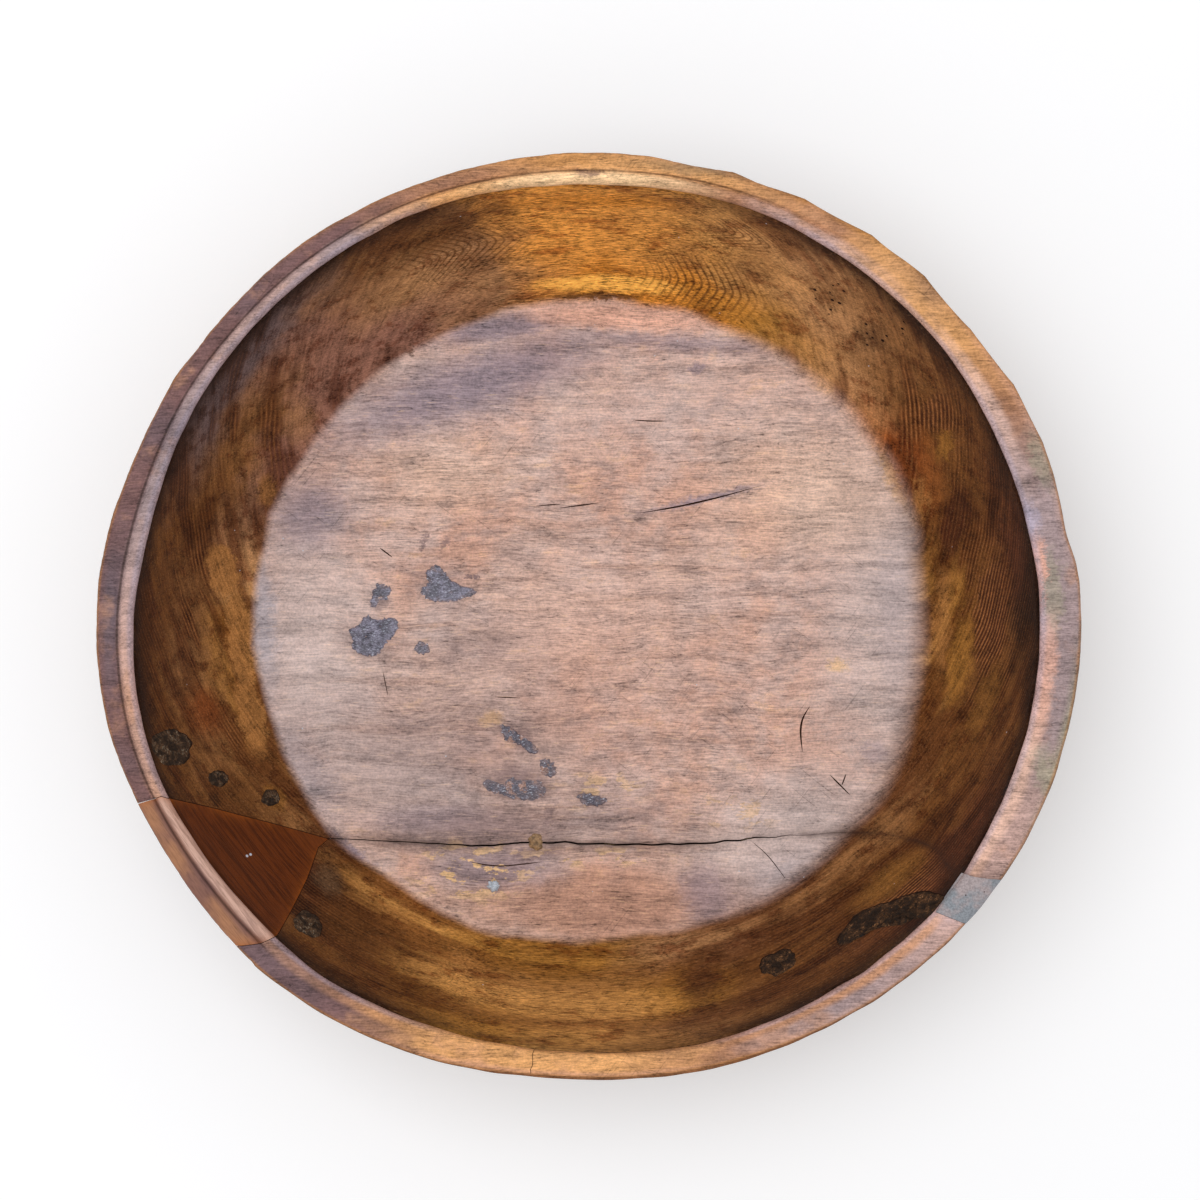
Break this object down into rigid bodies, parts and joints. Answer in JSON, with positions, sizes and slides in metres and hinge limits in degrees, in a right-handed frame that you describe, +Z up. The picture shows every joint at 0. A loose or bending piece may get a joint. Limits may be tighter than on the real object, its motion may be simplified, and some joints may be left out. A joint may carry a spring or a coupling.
{
  "type": "dough bowl",
  "caption": "Oval hand-hewn wooden dough bowl with a beaded rim, split along the grain and mended with a wedge patch, fills, a peg and hidden dowels.",
  "frame": {"origin": "middle of the flat rest face under the bowl, on the surface that it stands on", "axes": "+X along the grain and the bowl's length, +Y across the grain away from the split, +Z up"},
  "size_m": [0.492, 0.4638, 0.11],
  "materials": {
    "old_wood": "worn and waxed, dry on the floor",
    "patch_wood": "newer reddish-brown wood, oiled",
    "peg_wood": "dark with pitch",
    "dowel_wood": "plain, hidden",
    "filler": "grey-brown filler, rubbed flush",
    "dark_fill": "dark, crusty",
    "knot_wood": "dark, crusty",
    "pitch": "hard and glossy",
    "pale_glue": "pale bluish, glossy"
  },
  "bodies": {
    "root": {"bowl_body": "old_wood", "front_segment": "old_wood", "rim_patch": "patch_wood", "split_peg": "peg_wood", "split_dowel_1": "dowel_wood", "split_dowel_2": "dowel_wood", "split_dowel_3": "dowel_wood", "patch_pin_upper": "dowel_wood", "patch_pin_lower": "dowel_wood", "rim_fill": "filler", "wall_fill": "dark_fill", "oval_fill": "dark_fill", "knot_large": "knot_wood", "knot_mid": "knot_wood", "knot_low": "knot_wood", "knot_front": "knot_wood", "drip_heart": "pitch", "drip_left": "pitch", "drip_top": "pitch", "drip_small": "pitch", "drip_low": "pitch", "drip_crack": "pitch", "drip_mid": "pitch", "drip_flat": "pitch", "pale_drop": "pale_glue"}
  },
  "joints": []
}
